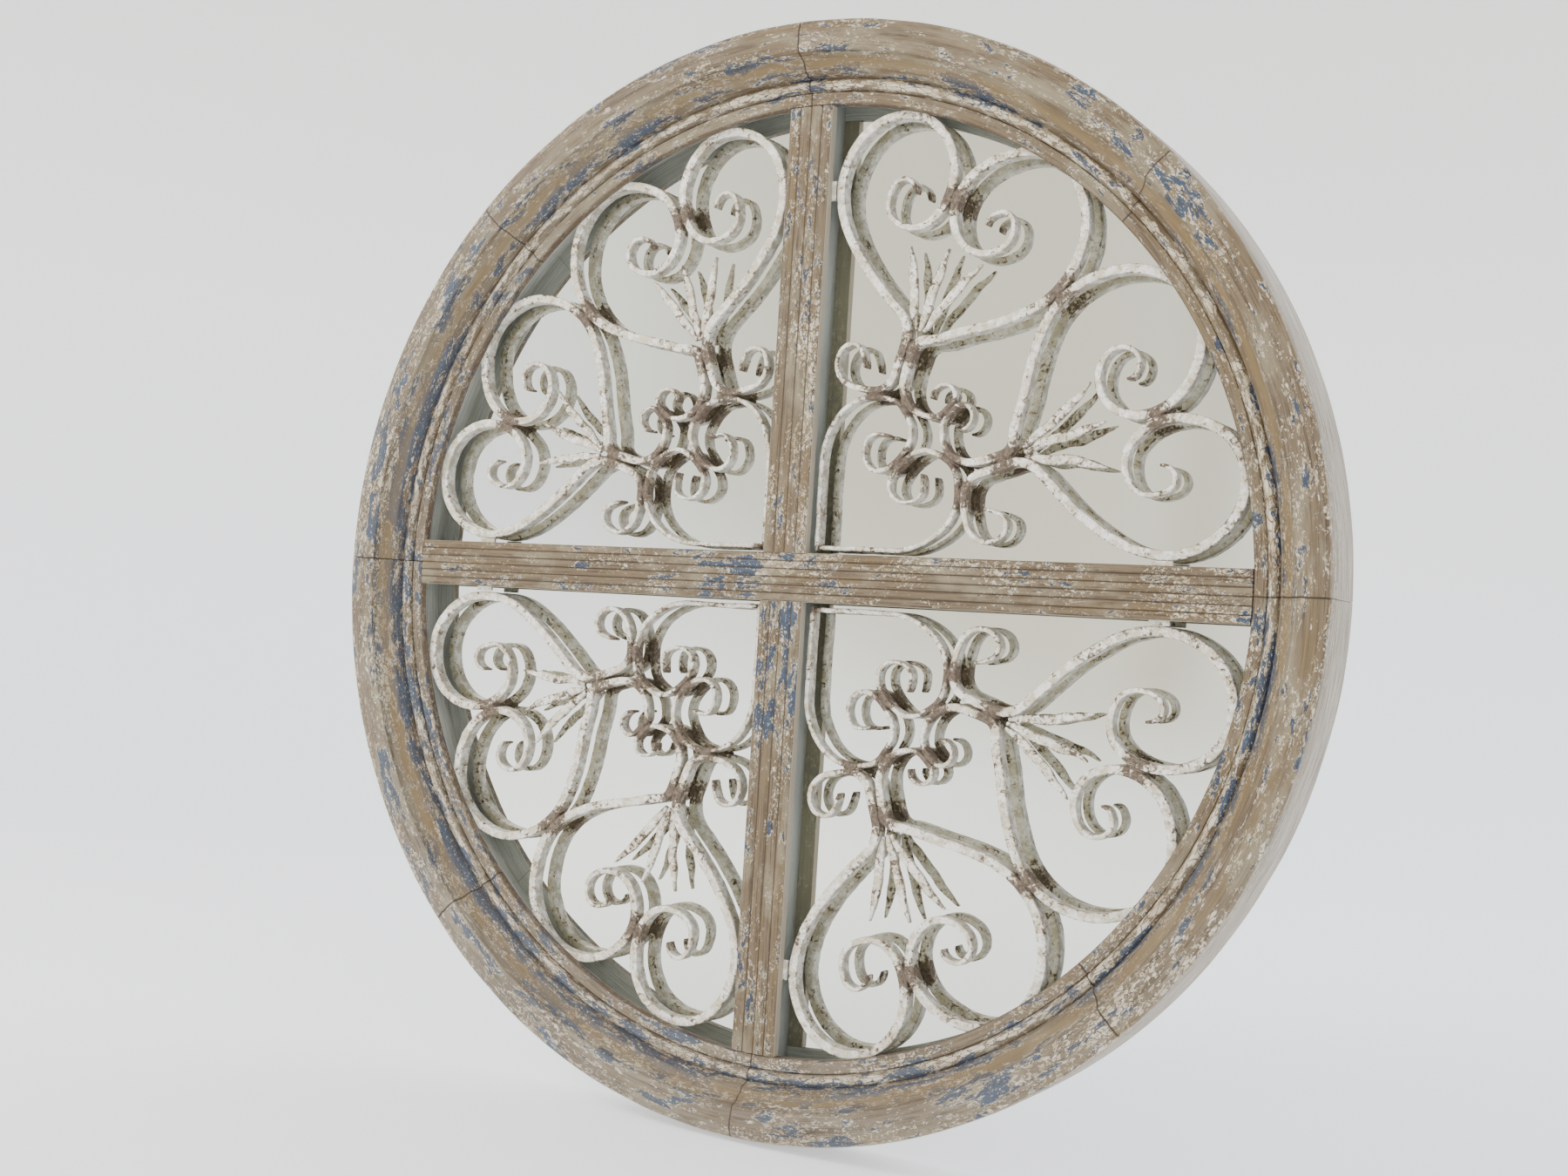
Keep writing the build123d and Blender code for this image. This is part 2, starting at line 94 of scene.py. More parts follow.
def colour(code):
    """A colour typed as six hex digits, turned into the linear values that shaders take."""
    parts = [int(code[start:start + 2], 16) / 255 for start in (1, 3, 5)]
    return tuple(part / 12.92 if part <= 0.04045 else ((part + 0.055) / 1.055) ** 2.4
                 for part in parts)


# Settings a user would change

def length(name, description, default):
    return FloatProperty(name=name, description=description, default=default,
                         min=0, unit="LENGTH", subtype="DISTANCE", precision=5)


def paint(name, description, code):
    return FloatVectorProperty(name=name, description=description, default=colour(code),
                               size=3, min=0, max=1, subtype="COLOR")


class RingSettings(bpy.types.PropertyGroup):
    arris: length("Arris", "Rounding of the worn outer edge", 1.4 * MM)
    crack: length("Joint crack", "Gap between two segments", 0.35 * MM)
    wear: length("Wear", "How far the outer edge is worn back in places", 0.7 * MM)
    steps: IntProperty(name="Steps", description="Steps round one segment", default=60, min=8)
    wood: paint("Wood", "Weathered brown wood", "#71614a")
    # Dark wood also paints the dirt and the painted shade in the grooves.
    dark_wood_and_shade: paint("Dark wood", "Wood in the grooves and the grain", "#3b2d22")
    ochre: paint("Ochre", "Old ochre glaze in the hollows", "#79633d")
    blue: paint("Blue", "Slate blue paint left in patches", "#2c4159")
    clouds: paint("Clouds", "Greyed, rubbed wood", "#948971")
    cream: paint("Cream", "Cream paint in flecks and rims", "#dacfba")


class ScrollSettings(bpy.types.PropertyGroup):
    edge: length("Edge", "Rounding of the strips' forged edges", 1.1 * MM)
    hammering: length("Hammering", "Depth of the hammer's dents", 0.28 * MM)
    step: length("Step", "Distance between two sections of a strip", 2.6 * MM)
    paint: paint("Paint", "Off-white paint", "#f6f2ea")
    stain: paint("Stain", "Beige staining of the paint", "#cabfa6")
    rust: paint("Rust", "Brown rust under the chips", "#54473c")


class MirrorSettings(bpy.types.PropertyGroup):
    silver_depth: length("Silver depth", "How deep the reflection lies behind the glass's front",
                         3.6 * MM)
    tint: paint("Tint", "Tint of the reflection", "#e4e5de")


def register_settings():
    for name, group in SETTINGS.items():
        bpy.utils.register_class(group)
        setattr(bpy.types.Scene, name, PointerProperty(type=group))


# Material tools

def add(tree, kind, inputs=(), **fields):
    """Adds a node, sets its fields, and gives each named input a value or a link."""
    made = tree.nodes.new(kind)
    for field, value in fields.items():
        setattr(made, field, value)
    for name, value in dict(inputs).items():
        if isinstance(value, bpy.types.NodeSocket):
            tree.links.new(value, made.inputs[name])
        else:
            made.inputs[name].default_value = value
    return made


def calc(tree, operation, first, second=0.0, clamp=False):
    return add(tree, "ShaderNodeMath", {0: first, 1: second}, operation=operation,
               use_clamp=clamp).outputs[0]


def spots(tree, place, size, detail=3.0, roughness=0.55, distortion=0.0):
    """Cloudy noise whose blots are about this many millimetres across."""
    return add(tree, "ShaderNodeTexNoise",
               {"Vector": place, "Scale": 1 / size, "Detail": detail, "Roughness": roughness,
                "Distortion": distortion}).outputs["Fac"]


def between(tree, value, low, high, out_low=0.0, out_high=1.0):
    """The value stretched from low..high to out_low..out_high, with soft ends."""
    return add(tree, "ShaderNodeMapRange",
               {"Value": value, "From Min": low, "From Max": high, "To Min": out_low,
                "To Max": out_high}, interpolation_type="SMOOTHSTEP").outputs["Result"]


def blend(tree, factor, under, over, mode="MIX"):
    made = add(tree, "ShaderNodeMix", data_type="RGBA", blend_type=mode)
    for socket, value in (("Factor_Float", factor), ("A_Color", under), ("B_Color", over)):
        target = next(item for item in made.inputs if item.identifier == socket)
        if isinstance(value, bpy.types.NodeSocket):
            tree.links.new(value, target)
        else:
            target.default_value = value if socket == "Factor_Float" else (*value, 1)
    return next(item for item in made.outputs if item.identifier == "Result_Color")


def near(tree, value, centre, width):
    """One at this centre, falling to nothing this far off it."""
    off = calc(tree, "ABSOLUTE", calc(tree, "SUBTRACT", value, centre))
    return between(tree, off, 0.0, width, 1.0, 0.0)


def joined(tree, across, up, depth):
    return add(tree, "ShaderNodeCombineXYZ", {"X": across, "Y": up, "Z": depth}).outputs[0]


def millimetres(tree):
    """Place on the object in millimetres, as three sockets."""
    spot = add(tree, "ShaderNodeTexCoord").outputs["Object"]
    scaled = add(tree, "ShaderNodeVectorMath", {0: spot, "Scale": 1000.0}, operation="SCALE")
    parts = add(tree, "ShaderNodeSeparateXYZ", {0: scaled.outputs[0]}).outputs
    return parts["X"], parts["Y"], parts["Z"]


def new_material(name):
    material = bpy.data.materials.new(name)
    material.use_nodes = True
    material.node_tree.nodes.clear()
    return material, material.node_tree


def surface(tree, base, roughness, height=None, bump=0.0, **sockets):
    """The shader itself, with an optional relief of this height in metres."""
    inputs = {"Base Color": base if isinstance(base, bpy.types.NodeSocket) else (*base, 1),
              "Roughness": roughness}
    inputs.update({name.replace("_", " "): value for name, value in sockets.items()})
    if height is not None:
        inputs["Normal"] = add(tree, "ShaderNodeBump",
                               {"Height": height, "Distance": bump, "Strength": 1.0}).outputs[0]
    shader = add(tree, "ShaderNodeBsdfPrincipled", inputs)
    add(tree, "ShaderNodeOutputMaterial", {"Surface": shader.outputs[0]})


# Wood and paint

def aged_layers(tree, s, along, across, depth, blueness, creaminess, banding, stretch):
    """Weathered wood under ochre glaze, cream flecks and slate blue patches.

    Along, across and depth are in millimetres. Blueness and creaminess say where more is left,
    banding where the cream lies in long strips, and stretch how short the patches are.
    """
    grain_place = joined(tree, calc(tree, "MULTIPLY", along, 0.03), across, depth)
    patch_place = joined(tree, calc(tree, "MULTIPLY", along, stretch), across, depth)
    fleck_place = joined(tree, calc(tree, "MULTIPLY", along, 0.6), across, depth)
    # Fine lengthwise fibres and broader streaks give the eye bare, dry wood.
    fibres = spots(tree, grain_place, 1.3, 5, 0.65)
    streaks = spots(tree, grain_place, 6.0, 3, 0.6)
    clouds = spots(tree, patch_place, 22.0, 4, 0.6)
    wood = blend(tree, between(tree, fibres, 0.28, 0.60), s.dark_wood_and_shade, s.wood)
    wood = blend(tree, between(tree, streaks, 0.48, 0.70, 0.0, 0.55), wood, s.ochre)
    wood = blend(tree, between(tree, clouds, 0.44, 0.66, 0.0, 0.6), wood, s.clouds)
    # Blue lies in long islands; round each the coats are broken into blue and cream crumbs.
    zone = spots(tree, patch_place, 30.0, 2)
    island = calc(tree, "ADD", spots(tree, patch_place, 11.0, 6, 0.72, 0.4), blueness)
    island = calc(tree, "ADD", island, calc(tree, "MULTIPLY", calc(tree, "SUBTRACT", zone, 0.5),
                                            0.3))
    blue = between(tree, island, 0.580, 0.592)
    rim = between(tree, island, 0.500, 0.570)
    crumbs = spots(tree, fleck_place, 2.8, 5, 0.72, 0.8)
    fleck = calc(tree, "ADD", crumbs, calc(tree, "ADD", creaminess, calc(
        tree, "MULTIPLY", calc(tree, "SUBTRACT", zone, 0.5), 0.6)))
    cream = between(tree, fleck, 0.59, 0.61)
    crumbled = between(tree, calc(tree, "ADD", crumbs, calc(tree, "MULTIPLY", rim, 0.10)),
                       0.57, 0.59)
    cream = calc(tree, "MAXIMUM", cream, calc(tree, "MULTIPLY", rim, crumbled))
    strip = calc(tree, "ADD", spots(tree, patch_place, 5.0, 5, 0.68), banding)
    cream = calc(tree, "MAXIMUM", cream, between(tree, strip, 0.62, 0.64))
    pits = between(tree, spots(tree, fleck_place, 1.7, 3, 0.6), 0.36, 0.42)
    crackle = add(tree, "ShaderNodeTexVoronoi",
                  {"Vector": patch_place, "Scale": 1 / 3.4, "Randomness": 1.0},
                  feature="DISTANCE_TO_EDGE").outputs["Distance"]
    cream = calc(tree, "MULTIPLY", cream, between(tree, crackle, 0.02, 0.07))
    blue = calc(tree, "MULTIPLY", blue, pits)
    tone = spots(tree, patch_place, 6.0, 3)
    blues = blend(tree, between(tree, tone, 0.35, 0.65), colour("#253347"), s.blue)
    creams = blend(tree, between(tree, tone, 0.35, 0.65), colour("#b3a184"), s.cream)
    mixed = blend(tree, calc(tree, "MULTIPLY", cream, 0.92), wood, creams)
    mixed = blend(tree, calc(tree, "MULTIPLY", blue, 0.95), mixed, blues)
    height = calc(tree, "ADD", calc(tree, "MULTIPLY", cream, 0.6),
                  calc(tree, "MULTIPLY", fibres, 1.0))
    height = calc(tree, "ADD", height, calc(tree, "MULTIPLY", blue, 0.4))
    dryness = between(tree, blue, 0.0, 1.0, 0.66, 0.48)
    return mixed, height, dryness, fibres


def ring_paint():
    """Turned softwood ring, glazed, painted twice and rubbed back."""
    s = bpy.context.scene.mirror_ring
    material, tree = new_material("weathered_painted_wood_ring")
    across, depth, up = millimetres(tree)
    radius = calc(tree, "SQRT", calc(tree, "ADD", calc(tree, "MULTIPLY", across, across),
                                     calc(tree, "MULTIPLY", up, up)))
    angle = calc(tree, "ARCTAN2", up, across)
    along = calc(tree, "MULTIPLY", angle, PAINT_RADIUS)
    wobble = between(tree, spots(tree, joined(tree, calc(tree, "MULTIPLY", along, 0.2), radius,
                                              depth), 6.0), 0.2, 0.8, -0.9, 0.9)
    line = calc(tree, "ADD", radius, wobble)
    # More paint is left on the left, below, and beside the bead; the outer edge is creamy.
    left = between(tree, across, -430.0, 250.0, 0.036, 0.0)
    low = between(tree, up, -450.0, 450.0, 0.03, -0.01)
    beside_bead = calc(tree, "MULTIPLY", near(tree, line, 410.0, 11.0), 0.06)
    blueness = calc(tree, "ADD", calc(tree, "ADD", left, beside_bead),
                    calc(tree, "MULTIPLY", low, 0.4))
    edge = between(tree, line, 441.0, 450.0, -0.02, 0.04)
    creaminess = calc(tree, "ADD", calc(tree, "ADD", edge, left), low)
    banding = calc(tree, "MULTIPLY", near(tree, line, 403.0, 8.0), 0.17)
    mixed, height, dryness, fibres = aged_layers(tree, s, along, radius, depth, blueness,
                                                 creaminess, banding, 0.3)
    # The left and the foot have weathered to a cool grey.
    greyed = calc(tree, "ADD", between(tree, across, -440.0, 100.0, 0.10, 0.0),
                  between(tree, up, -450.0, -100.0, 0.12, 0.0), clamp=True)
    mixed = blend(tree, calc(tree, "MULTIPLY", greyed, between(tree, fibres, 0.3, 0.6, 0.4, 1.0)),
                  mixed, colour("#a3a4a6"))
    # Glaze sits in the turned hollows as ochre; the dark lines along the profile's creases are dirt
    # and painted shade.
    hollow = calc(tree, "MULTIPLY", near(tree, line, 417.5, 6.5), 0.6)
    mixed = blend(tree, hollow, mixed, s.ochre)
    for centre, width, share in ((GROOVE_RADIUS, 2.0, 0.4), (BEAD_END + 0.7, 1.8, 0.4),
                                 (STEP_END + 0.5, 1.6, 0.35), (COVE_END + 0.1, 1.6, 0.3)):
        dirt_and_groove_shade = calc(tree, "MULTIPLY", near(tree, line, centre, width), share)
        mixed = blend(tree, dirt_and_groove_shade, mixed, s.dark_wood_and_shade)
    # Dirt has crept into the joint between two segments.
    joint = calc(tree, "PINGPONG", calc(tree, "ADD", along, calc(tree, "MULTIPLY", wobble, 0.6)),
                 PAINT_RADIUS * math.pi / SEGMENTS)
    mixed = blend(tree, between(tree, joint, 0.3, 1.3, 0.8, 0.0), mixed, s.dark_wood_and_shade)
    # The lip's edge is brown, the wall behind it pale grey, the outer side limewashed.
    inner = between(tree, radius, LIP_RADIUS + 0.6, LIP_RADIUS + 1.4, 0.6, 0.0)
    mixed = blend(tree, inner, mixed, colour("#4a3a2c"))
    hidden = calc(tree, "MULTIPLY", between(tree, depth, LIP_BACK - 0.4, LIP_BACK + 0.1),
                  between(tree, radius, GLASS_REBATE + 0.5, GLASS_REBATE + 1.5, 1.0, 0.0))
    greys = blend(tree, between(tree, fibres, 0.3, 0.6), colour("#c4c9cc"), colour("#f2f2ee"))
    mixed = blend(tree, hidden, mixed, greys)
    outer = OUTER / MM
    side = between(tree, radius, outer - 1.6, outer - 0.6)
    washed = blend(tree, between(tree, fibres, 0.36, 0.62), colour("#776a5c"), colour("#bfb6a8"))
    rear = between(tree, depth, -58.0, -20.0, 0.55, 0.95)
    mixed = blend(tree, calc(tree, "MULTIPLY", side, rear), mixed, washed)
    behind = between(tree, depth, -0.6, -0.1)
    bare = blend(tree, between(tree, fibres, 0.35, 0.62), colour("#6f563b"), colour("#a58a64"))
    mixed = blend(tree, behind, mixed, bare)
    surface(tree, mixed, dryness, height, 0.00022, Specular_IOR_Level=0.4)
    return material


def bar_paint(name, upright):
    """The same paint on a straight reeded bar, with its own patches along it."""
    s = bpy.context.scene.mirror_ring
    material, tree = new_material(name)
    across, depth, up = millimetres(tree)
    along, side = (up, across) if upright else (across, up)
    if upright:
        patches = [(-85.0, 95.0, 0.11), (60.0, 50.0, 0.03), (300.0, 90.0, 0.05),
                   (-330.0, 70.0, 0.03)]
        creams = [(70.0, 60.0, 0.08), (180.0, 110.0, 0.05), (-60.0, 120.0, 0.03),
                  (-380.0, 60.0, 0.05)]
    else:
        patches = [(-60.0, 55.0, 0.11), (35.0, 40.0, 0.05), (-180.0, 60.0, 0.02)]
        creams = [(20.0, 60.0, 0.06), (110.0, 70.0, 0.04), (345.0, 90.0, 0.08)]

    def sum_of(places, start):
        total = calc(tree, "ADD", start, 0.0)
        for centre, width, share in places:
            part = calc(tree, "MULTIPLY", near(tree, along, centre, width), share)
            total = calc(tree, "ADD", total, part)
        return total

    mixed, height, dryness, fibres = aged_layers(
        tree, s, along, side, depth, sum_of(patches, -0.02), sum_of(creams, -0.01), -0.2, 0.5)
    # Dirt and painted shade darken the grooves between the reeds; the bar's sides are limewashed.
    pitch = 2 * BAR_HALF / (UPRIGHT_REEDS if upright else LEVEL_REEDS)
    phase = calc(tree, "PINGPONG", calc(tree, "ADD", side, BAR_HALF), pitch / 2)
    dirt_and_groove_shade = between(tree, phase, 0.25, 0.95, 0.8, 0.0)
    mixed = blend(tree, dirt_and_groove_shade, mixed, s.dark_wood_and_shade)
    off = calc(tree, "ABSOLUTE", side)
    flank = between(tree, off, BAR_HALF - 0.5, BAR_HALF - 0.1, 0.0, 0.75)
    mixed = blend(tree, flank, mixed, colour("#b9ae9b"))
    # Behind, the moulding is a dirty cream and the rib under it a pale blue-grey.
    hidden = between(tree, depth, LIP_BACK - 0.3, LIP_BACK + 0.2)
    beside = between(tree, off, RIB_HALF + 0.2, RIB_HALF + 0.6)
    pale = blend(tree, beside, colour("#c6cbcc"), colour("#cfcab6"))
    mixed = blend(tree, calc(tree, "MULTIPLY", hidden, 0.9), mixed, pale)
    surface(tree, mixed, dryness, height, 0.00022, Specular_IOR_Level=0.4)
    return material


# Iron, glass and the plain parts

def iron_paint():
    """Forged mild steel, brushed with off-white paint that has chipped and stained."""
    s = bpy.context.scene.mirror_scrolls
    material, tree = new_material("chipped_paint_on_forged_iron")
    across, depth, up = millimetres(tree)
    place = joined(tree, across, up, depth)
    worn = add(tree, "ShaderNodeAttribute", attribute_name="wear").outputs["Fac"]
    edge = add(tree, "ShaderNodeAttribute", attribute_name="edge").outputs["Fac"]
    turned = add(tree, "ShaderNodeTexCoord").outputs["Normal"]
    facing = add(tree, "ShaderNodeSeparateXYZ", {0: turned}).outputs["Y"]
    # Painted shade: the strips' sides are painted greyer and darker than their fronts, in blotches.
    shaded_sides = between(tree, calc(tree, "ABSOLUTE", facing), 0.35, 0.8, 1.0, 0.0)
    blots = spots(tree, place, 9.0, 4, 0.65)
    coat = blend(tree, between(tree, blots, 0.38, 0.62, 0.0, 0.9), s.paint, s.stain)
    side_shade = blend(tree, between(tree, blots, 0.36, 0.60), colour("#c2c1b9"), colour("#77736b"))
    coat = blend(tree, calc(tree, "MULTIPLY", shaded_sides, 0.72), coat, side_shade)
    # Small blots of dirt on the paint.
    dirt_and_groove_shade = between(tree, spots(tree, place, 3.2, 4, 0.7), 0.50, 0.68, 0.0, 0.55)
    coat = blend(tree, dirt_and_groove_shade, coat, colour("#a39679"))
    # Chips gather along the edges, at the welds and at the ends of the curls.
    chip = spots(tree, place, 4.2, 6, 0.72, 0.7)
    patch = spots(tree, place, 20.0, 3, 0.6)
    chip = calc(tree, "ADD", chip, calc(tree, "MULTIPLY", worn, 0.30))
    chip = calc(tree, "ADD", chip, calc(tree, "MULTIPLY", edge, 0.075))
    uneven = calc(tree, "MULTIPLY", calc(tree, "SUBTRACT", patch, 0.5), 0.42)
    chip = calc(tree, "ADD", chip, uneven)
    bare = between(tree, chip, 0.640, 0.665)
    halo = between(tree, chip, 0.55, 0.65, 0.0, 0.8)
    coat = blend(tree, halo, coat, colour("#a18d6e"))
    rust = blend(tree, between(tree, spots(tree, place, 2.6, 4, 0.65), 0.35, 0.65), s.rust,
                 colour("#76685a"))
    mixed = blend(tree, bare, coat, rust)
    height = calc(tree, "SUBTRACT", calc(tree, "MULTIPLY", spots(tree, place, 3.5, 4), 1.5),
                  calc(tree, "MULTIPLY", bare, 0.8))
    surface(tree, mixed, between(tree, bare, 0.0, 1.0, 0.46, 0.82), height, 0.0003,
            Specular_IOR_Level=0.4)
    return material


def silver():
    """Silvered float glass: a clean, very slightly warm reflection."""
    s = bpy.context.scene.mirror_glass
    material, tree = new_material("silvered_mirror_glass")
    across, depth, up = millimetres(tree)
    haze = spots(tree, joined(tree, across, up, depth), 140.0, 2)
    surface(tree, tuple(s.tint), between(tree, haze, 0.3, 0.7, 0.012, 0.03), Metallic=1.0)
    return material


def hardboard():
    """Pressed hardboard: tiny dark and light fibres on an even brown."""
    material, tree = new_material("raw_hardboard")
    across, depth, up = millimetres(tree)
    place = joined(tree, across, up, depth)
    fibre = spots(tree, place, 1.2, 5, 0.7)
    cloud = spots(tree, place, 60.0, 3)
    mixed = blend(tree, between(tree, fibre, 0.38, 0.62), colour("#33241a"), colour("#73573a"))
    mixed = blend(tree, between(tree, cloud, 0.35, 0.7, 0.0, 0.4), mixed, colour("#4f3a28"))
    surface(tree, mixed, 0.82, fibre, 0.0003)
    return material


def beech():
    """Fluted beech dowels, straight grained."""
    material, tree = new_material("beech_dowel")
    across, depth, up = millimetres(tree)
    place = joined(tree, calc(tree, "MULTIPLY", across, 0.2), up, depth)
    grain = spots(tree, place, 0.8, 4, 0.6)
    mixed = blend(tree, grain, colour("#a97f52"), colour("#cfa878"))
    surface(tree, mixed, 0.6, grain, 0.0001)
    return material


def plated_steel(name, code, roughness):
    """Plated steel with a brushed, slightly cloudy shine."""
    material, tree = new_material(name)
    across, depth, up = millimetres(tree)
    fine = spots(tree, joined(tree, across, calc(tree, "MULTIPLY", up, 0.15), depth), 0.4, 3)
    cloud = spots(tree, joined(tree, across, up, depth), 7.0, 3)
    base = blend(tree, between(tree, cloud, 0.35, 0.7), colour(code), colour("#8d8a82"))
    surface(tree, base, between(tree, fine, 0.3, 0.7, roughness, roughness + 0.15), fine, 0.00002,
            Metallic=1.0)
    return material


# Mesh tools

def finished(name, mesh, material, body, nodes=(), sharp=40.0):
    """Turns a bmesh into a smooth shaded piece that rides on a body."""
    bmesh.ops.recalc_face_normals(mesh, faces=mesh.faces)
    for face in mesh.faces:
        face.smooth = True
    for edge in mesh.edges:
        edge.smooth = edge.calc_face_angle(0.0) < math.radians(sharp)
    data = bpy.data.meshes.new(name)
    mesh.to_mesh(data)
    mesh.free()
    data.materials.append(material)
    made = bpy.data.objects.new(name, data)
    bpy.context.scene.collection.objects.link(made)
    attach(made, body)
    if nodes:
        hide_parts(*nodes)
    return made


def arc_through(start, middle, end, count):
    """Points on the circle through three points, the first and the last included."""
    a, b, c = Vector(start), Vector(middle), Vector(end)
    normal = (b - a).to_3d().cross((c - a).to_3d()).z
    side_a, side_b = b - a, c - a
    lean = 2 * normal
    centre = a + Vector((side_b.y * side_a.length_squared - side_a.y * side_b.length_squared,
                         side_a.x * side_b.length_squared - side_b.x * side_a.length_squared)) / lean
    first, last = a - centre, c - centre
    turn = first.angle_signed(last)
    if (normal > 0) != (turn < 0):
        turn = turn - math.copysign(2 * math.pi, turn)
    return [centre + Matrix.Rotation(-turn * step / (count - 1), 2) @ first
            for step in range(count)]


def ring_outline():
    """Half section of the ring as (radius, depth) in millimetres, from the reveal forwards."""
    s = bpy.context.scene.mirror_ring
    arris = s.arris / MM
    outer = OUTER / MM
    crown = FRONT / MM
    band = crown + 2.0
    lip = arc_through((LIP_RADIUS, LIP_FRONT + 2.5), (LIP_RADIUS + 0.73, LIP_FRONT + 0.73),
                      (LIP_RADIUS + 2.5, LIP_FRONT), 4)
    bead = arc_through((GROOVE_RADIUS, LIP_FRONT + 1), (403.75, -39), (BEAD_END, -36.5), 12)
    cove = arc_through((STEP_END, -46.5), (419.7, -51.9), (COVE_END, band), 10)
    top = arc_through((COVE_END + 0.5, band - 0.2), (437.25, crown), (outer - arris, band + 0.1),
                      14)
    rim = arc_through((outer - arris, band + 0.1), (outer - 0.3 * arris, band + 0.3 * arris),
                      (outer, band + arris), 4)
    points = [Vector((LIP_RADIUS, LIP_BACK))] + lip + [Vector((GROOVE_RADIUS - 1, LIP_FRONT))]
    points += bead + [Vector((BEAD_END + 0.6, -38)), Vector((STEP_END - 0.5, -45.6))]
    points += cove + top + rim[1:]
    rear = [(outer, -40), (outer, -20), (outer, -0.6), (outer - 0.6, 0), (BOARD_REBATE, 0),
            (BOARD_REBATE, BOARD_FRONT), (BOARD_SEAT, BOARD_FRONT), (BOARD_SEAT, GLASS_SEAT),
            (GLASS_REBATE, GLASS_SEAT), (GLASS_REBATE, LIP_BACK)]
    return points + [Vector(place) for place in rear]


# How far each segment's front has sunk against its neighbours, in millimetres.
SUNK_SEGMENTS = (0.0, 0.35, 0.1, 0.5, 0.15, 0.4, 0.05, 0.3)


class BuildRing(bpy.types.Operator):
    """Turn the eight moulded segments of the ring"""
    bl_idname = "mirror.build_ring"
    bl_label = "Ring"

    def execute(self, context):
        s = context.scene.mirror_ring
        material = ring_paint()
        step = 2 * math.pi / SEGMENTS
        gap = s.crack / OUTER / 2
        for index in range(SEGMENTS):
            mesh = bmesh.new()
            turned = Matrix.Rotation(-(index * step + gap), 4, "Y")
            loop = [mesh.verts.new(turned @ Vector((point.x * MM, point.y * MM, 0)))
                    for point in ring_outline()]
            edges = [mesh.edges.new((one, two)) for one, two in zip(loop, loop[1:] + loop[:1])]
            spun = bmesh.ops.spin(mesh, geom=loop + edges, cent=(0, 0, 0), axis=(0, 1, 0),
                                  angle=-(step - 2 * gap), steps=s.steps, use_duplicate=False)
            last = [item for item in spun["geom_last"] if isinstance(item, bmesh.types.BMEdge)]
            bmesh.ops.contextual_create(mesh, geom=edges)
            bmesh.ops.contextual_create(mesh, geom=last)
            self.wear(mesh, index, s.wear)
            name = f"ring_segment_{index + 1}_worn"
            finished(name, mesh, material, "frame", [f"ring_segment_{index + 1}"])
        return {"FINISHED"}

    @staticmethod
    def wear(mesh, index, depth):
        """Rubs the outer edge back in places and lets each segment sit a little lower."""
        sunk = SUNK_SEGMENTS[index % len(SUNK_SEGMENTS)] * MM
        for vert in mesh.verts:
            radius = math.hypot(vert.co.x, vert.co.z)
            outward = Vector((vert.co.x, 0, vert.co.z)) / radius
            rub = max(0.0, noise.noise(vert.co * 22 + Vector((index, 0, 0)))) * depth
            near_edge = max(0.0, 1 - abs(radius - OUTER) / (6 * MM))
            vert.co -= outward * rub * near_edge
            forward = max(0.0, min(1.0, (-vert.co.y / MM - 20) / 30))
            vert.co.y += (sunk + rub * 0.5) * forward


# Scrollwork. Each strip is drawn in the upper right pane as stations: across and up from the
# centre in millimetres, heading in degrees from +X towards +Z, and thickness.

HALF_WELD = 0.15
HEART, CURL, THIN, TIP = 8.0, 6.0, 4.5, 3.5
HEART_AXIS, LOBE_AXIS, SHOULDER_AXIS = 71, 249, 126
HEART_WELD = (98, 186)
CORNER_TOP_WELD = (70, 150.5)
CORNER_SHOULDER_WELD = (97.5, 140)
CURL_WELD = (136, 136)
CORNER_CURL_WELD = (95, 95)
LOBE_WELD = (129.5, 306)
HEARTS_WELD = (224, 224)


def welded(weld, heading, thickness, side):
    """A station just off a weld's line, on its left (1) or its right (-1)."""
    turn = math.radians(heading + 90 * side)
    off = thickness / 2 + HALF_WELD
    return (weld[0] + off * math.cos(turn), weld[1] + off * math.sin(turn), heading, thickness)


def heart_outer():
    return [(60, 172, 100, TIP), (47, 191.5, 180, THIN), (33.5, 176, 270, THIN),
            welded(CORNER_TOP_WELD, 0, CURL, 1), welded(HEART_WELD, HEART_AXIS, HEART, 1),
            (62, 245, 130, HEART), (28, 318, 90, HEART), (81, 376, 0, HEART),
            welded(LOBE_WELD, LOBE_AXIS, HEART, -1), (97, 284, 180, CURL), (72, 304, 90, THIN),
            (85, 324, 0, THIN), (95, 312, 270, TIP)]


def heart_inner():
    return [(121, 146, 95, TIP), (132, 157.5, 0, TIP), (141.5, 148, 270, THIN),
            welded(CURL_WELD, 225, THIN, -1), (123, 131.5, 180, THIN),
            welded(CORNER_SHOULDER_WELD, SHOULDER_AXIS, CURL, -1),
            welded(HEART_WELD, HEART_AXIS, HEART, -1), (130, 195, 15, HEART),
            (185, 207.5, 17, HEART), welded(HEARTS_WELD, 45, HEART, 1), (242, 278, 90, HEART),
            (187, 337.5, 180, HEART), welded(LOBE_WELD, LOBE_AXIS, HEART, 1),
            (160, 259.5, 0, CURL), (183, 278, 90, THIN), (171, 291, 180, THIN),
            (159, 282, 270, TIP)]


def corner_scroll(start):
    return [(25.25, 20 + start, 90, THIN), (25.25, 95, 90, THIN),
            welded(CORNER_TOP_WELD, 0, THIN, -1),
            welded(CORNER_SHOULDER_WELD, SHOULDER_AXIS - 180, THIN, -1), (105, 118, 270, THIN),
            welded(CORNER_CURL_WELD, 225, THIN, -1), (77, 88.5, 180, THIN), (63.5, 103, 90, TIP),
            (74, 118, 0, TIP), (86, 116, -25, TIP)]


def leaves():
    lines = [[(101.3, 202.2, 100), (98.5, 227, 92), (93, 270, 99)],
             [(104.4, 201, 72), (114, 228, 76), (128, 266, 64)],
             [(107.8, 200.2, 50), (128, 224, 50), (157, 252, 38)]]
    return [[(*place, width) for place, width in zip(line, (3.0, 7.0, 1.2))] for line in lines]


